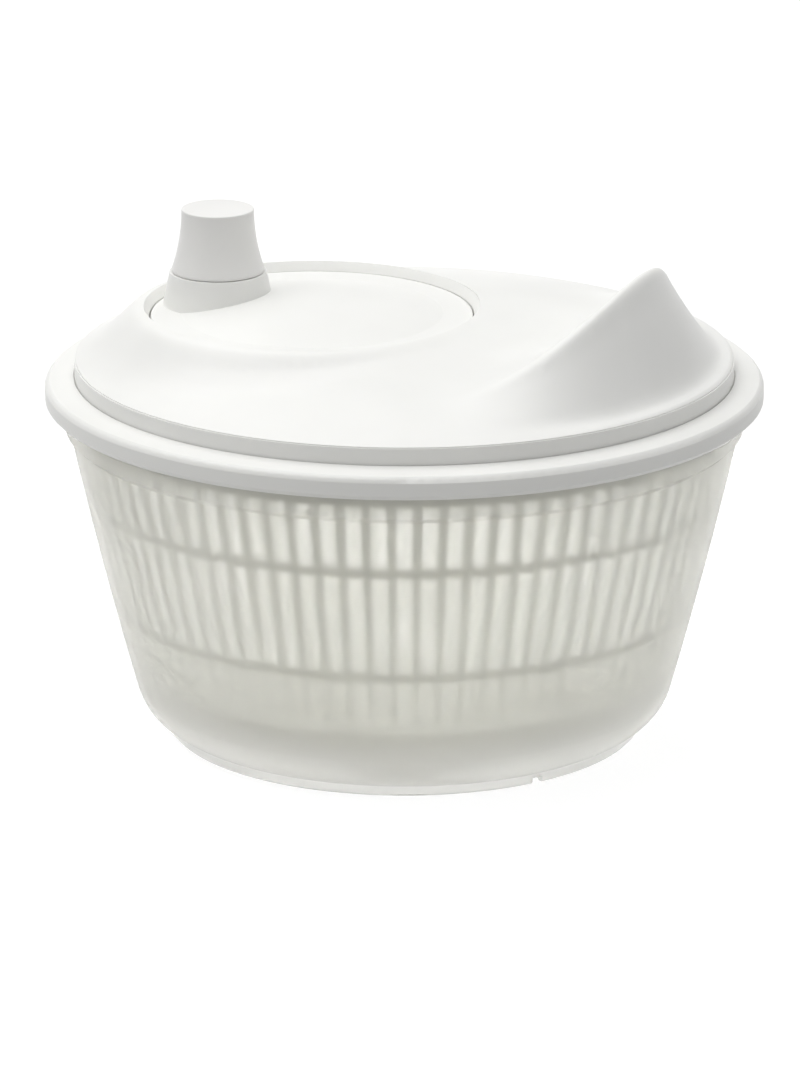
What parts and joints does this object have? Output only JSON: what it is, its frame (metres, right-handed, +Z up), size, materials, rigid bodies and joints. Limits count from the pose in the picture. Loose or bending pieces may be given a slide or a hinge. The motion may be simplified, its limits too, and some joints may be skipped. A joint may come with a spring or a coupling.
{
  "type": "salad spinner",
  "caption": "Hand-cranked salad spinner: frosted bowl, slotted basket and a white domed lid with a raised grip, a sunken crank disc and its knob.",
  "frame": {"origin": "on the table, at the centre of the bowl's foot", "axes": "+Z up along the bowl's axis; the crank disc lies towards -X and the lid's raised grip towards +X"},
  "size_m": [0.245, 0.245, 0.1788],
  "materials": {
    "bowl_frosted": "frosted translucent polypropylene",
    "basket_white": "satin white polypropylene",
    "lid_white": "satin white plastic",
    "knob_white": "satin white plastic",
    "holder_white": "satin white polypropylene",
    "gear_nylon": "natural moulded nylon",
    "bearing_plastic": "moulded acetal",
    "screw_steel": "plain steel"
  },
  "bodies": {
    "bowl": {"bowl": "bowl_frosted"},
    "lid": {"lid_base": "lid_white", "lid_cover": "lid_white", "lid_screws": "screw_steel", "stem_bush": "bearing_plastic", "crank_bush": "bearing_plastic"},
    "crank": {"crank_disc": "lid_white", "ring_gear": "gear_nylon", "ring_gear_screws": "screw_steel", "crank_washer": "screw_steel", "crank_screw": "screw_steel", "knob_pin": "screw_steel", "knob_washer": "bearing_plastic"},
    "knob": {"knob_shell": "knob_white", "knob_cap": "knob_white"},
    "hub": {"drive_pinion": "gear_nylon", "basket_holder": "holder_white", "holder_washer": "screw_steel", "holder_screw": "screw_steel"},
    "basket": {"basket": "basket_white"}
  },
  "joints": [
    {"name": "lid_lift", "type": "slide", "parent": "bowl", "child": "lid", "axis": [0, 0, 1], "range_m": [0, 0.26]},
    {"name": "crank_spin", "type": "hinge", "parent": "lid", "child": "crank", "pos_m": [-0.0315, 0, 0.14], "axis": [0, 0, 1], "continuous": true},
    {"name": "knob_spin", "type": "hinge", "parent": "crank", "child": "knob", "pos_m": [-0.06363, 0.01364, 0.165], "axis": [0, 0, 1], "continuous": true},
    {"name": "hub_spin", "type": "hinge", "parent": "lid", "child": "hub", "pos_m": [0, 0, 0.12], "axis": [0, 0, 1], "continuous": true},
    {"name": "basket_release", "type": "slide", "parent": "hub", "child": "basket", "axis": [0, 0, 1], "range_m": [-0.13, 0]}
  ],
  "couplings": [
    {"joint": "hub_spin", "follows": "crank_spin", "ratio": 3.3333},
    {"joint": "basket_release", "follows": "lid_lift", "ratio": -0.5}
  ]
}
